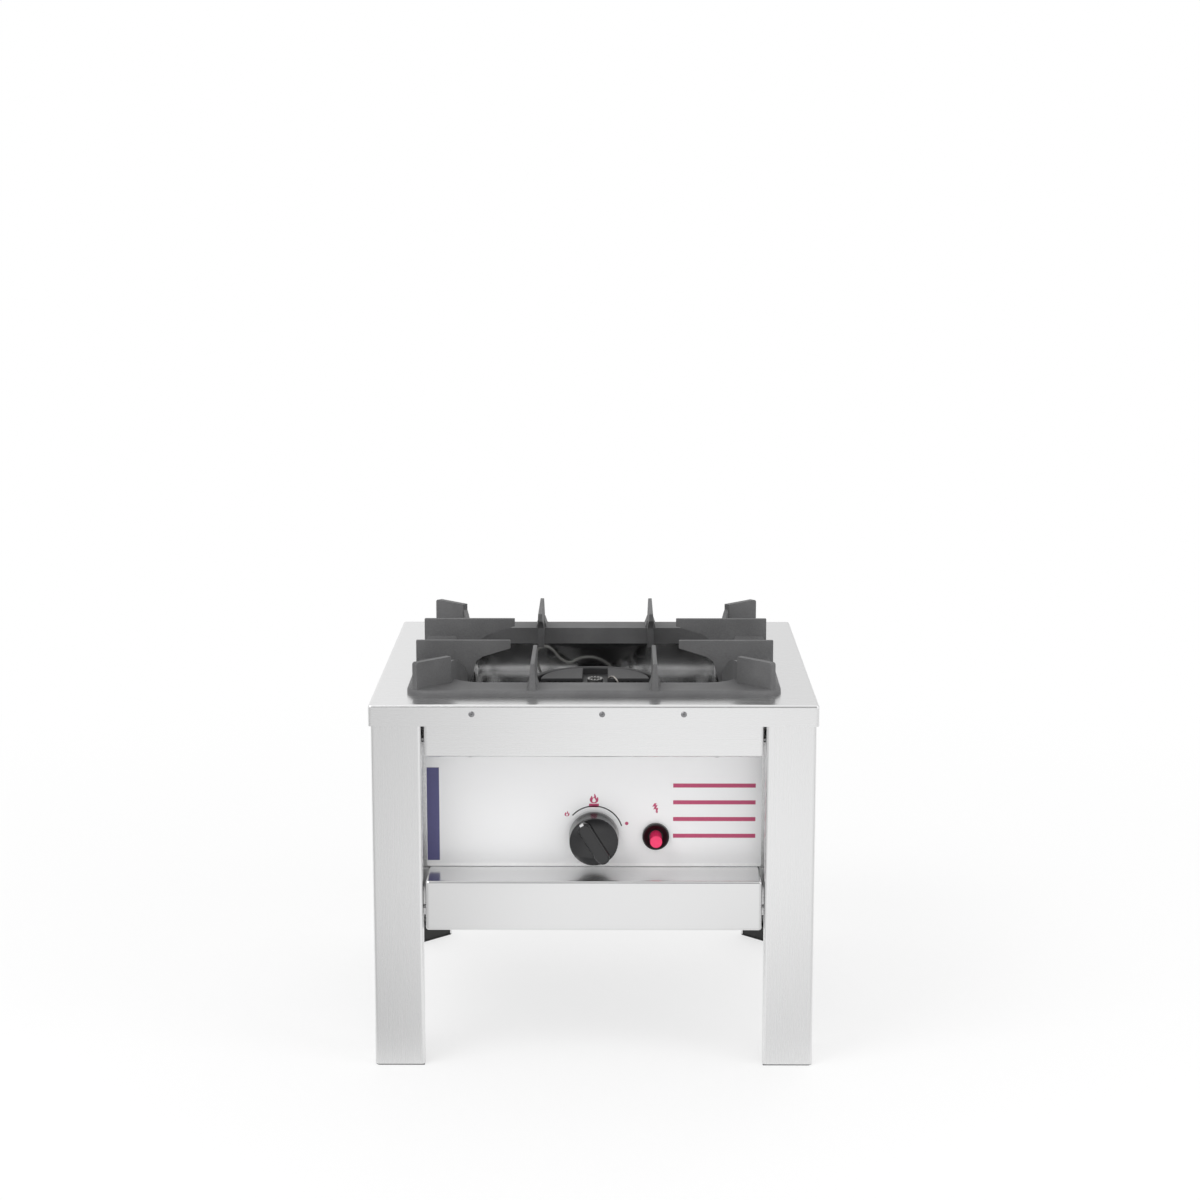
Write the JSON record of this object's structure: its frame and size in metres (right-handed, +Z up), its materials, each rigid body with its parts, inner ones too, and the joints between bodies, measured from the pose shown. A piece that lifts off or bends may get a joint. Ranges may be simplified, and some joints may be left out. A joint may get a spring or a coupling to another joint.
{
  "type": "gas stool burner",
  "caption": "Free-standing square stainless stool burner with a cast-iron burner in a deep pan, a cast-iron pan support, a gas valve with a knob and a piezo igniter.",
  "frame": {"origin": "centre of the four feet, on the floor", "axes": "+Z up, -Y towards the control panel, +X to the right seen from the front"},
  "size_m": [0.4, 0.4024, 0.3653],
  "materials": {
    "stainless": "brushed stainless sheet",
    "plain_steel": "plain steel sheet",
    "polished_steel": "polished stainless sheet",
    "screw_steel": "zinc-plated screws",
    "cast_iron": "matt dark grey cast iron",
    "burner_iron": "matt black cast iron",
    "hub_metal": "dulled brass",
    "foot_plastic": "black moulded plastic",
    "printed_overlay": "satin sheet with printed marks",
    "knob_plastic": "glossy black plastic",
    "igniter_plastic": "glossy black plastic",
    "button_plastic": "glossy red plastic",
    "valve_aluminium": "die-cast aluminium",
    "brass": "machined brass",
    "spindle_steel": "turned steel",
    "spring_steel": "spring steel wire",
    "pipe_steel": "drawn steel tube",
    "lead_rubber": "grey silicone",
    "electrode_ceramic": "white glazed ceramic",
    "probe_copper": "copper tube"
  },
  "bodies": {
    "root": {"base_shield": "plain_steel", "bonnet_screws": "screw_steel", "burner_body": "cast_iron", "burner_head": "burner_iron", "burner_hub": "hub_metal", "burner_pan": "polished_steel", "burner_screws": "screw_steel", "burner_stand": "plain_steel", "control_panel": "stainless", "corner_gussets": "plain_steel", "electrode_bracket": "plain_steel", "gas_pipe": "pipe_steel", "gas_valve_body": "valve_aluminium", "hub_bolt": "screw_steel", "igniter_body": "igniter_plastic", "igniter_nut": "igniter_plastic", "igniter_spring": "spring_steel", "ignition_lead": "lead_rubber", "injector": "brass", "inlet_fitting": "brass", "inlet_locknut": "brass", "lead_grommets": "lead_rubber", "leg_feet": "foot_plastic", "leg_front_left": "stainless", "leg_front_right": "stainless", "leg_rear_left": "stainless", "leg_rear_right": "stainless", "lower_rail_front": "stainless", "lower_rail_left": "stainless", "lower_rail_rear": "stainless", "lower_rail_right": "stainless", "magnet_unit": "brass", "mixer_tube": "valve_aluminium", "neck_nut": "brass", "panel_overlay": "printed_overlay", "panel_screws": "screw_steel", "pipe_nuts": "brass", "rear_panel": "stainless", "shutter_clip": "screw_steel", "side_panel_left": "stainless", "side_panel_right": "stainless", "skirt_screws": "screw_steel", "spark_electrode": "electrode_ceramic", "stand_screws": "screw_steel", "thermocouple": "probe_copper", "top_plate": "stainless", "upper_rail_front": "stainless", "upper_rail_left": "stainless", "upper_rail_rear": "stainless", "upper_rail_right": "stainless", "valve_bonnet": "valve_aluminium", "valve_screws": "screw_steel"},
    "grate": {"pan_support": "cast_iron"},
    "plug": {"valve_plug": "brass", "push_spring": "spring_steel"},
    "control_knob": {"knob": "knob_plastic", "valve_spindle": "spindle_steel"},
    "igniter_button": {"igniter_button": "button_plastic"},
    "shutter": {"air_shutter": "spindle_steel"}
  },
  "joints": [
    {"name": "grate_lift", "type": "slide", "parent": "root", "child": "grate", "axis": [0, 0, 1], "range_m": [0, 0.111]},
    {"name": "valve_turn", "type": "hinge", "parent": "root", "child": "plug", "pos_m": [0, -0.12, 0.203], "axis": [0, -1, 0], "range_deg": [-105, 16]},
    {"name": "knob_push", "type": "slide", "parent": "plug", "child": "control_knob", "axis": [0, 1, 0], "range_m": [0, 0.004], "stiffness_N_per_m": 1500, "springref_m": -0.002, "deforming": ["push_spring"]},
    {"name": "igniter_press", "type": "slide", "parent": "root", "child": "igniter_button", "axis": [0, 1, 0], "range_m": [0, 0.005], "stiffness_N_per_m": 3000, "springref_m": -0.001, "deforming": ["igniter_spring"]},
    {"name": "shutter_turn", "type": "hinge", "parent": "root", "child": "shutter", "pos_m": [0, -0.0913, 0.203], "axis": [0, -1, 0], "range_deg": [0, 32]}
  ]
}
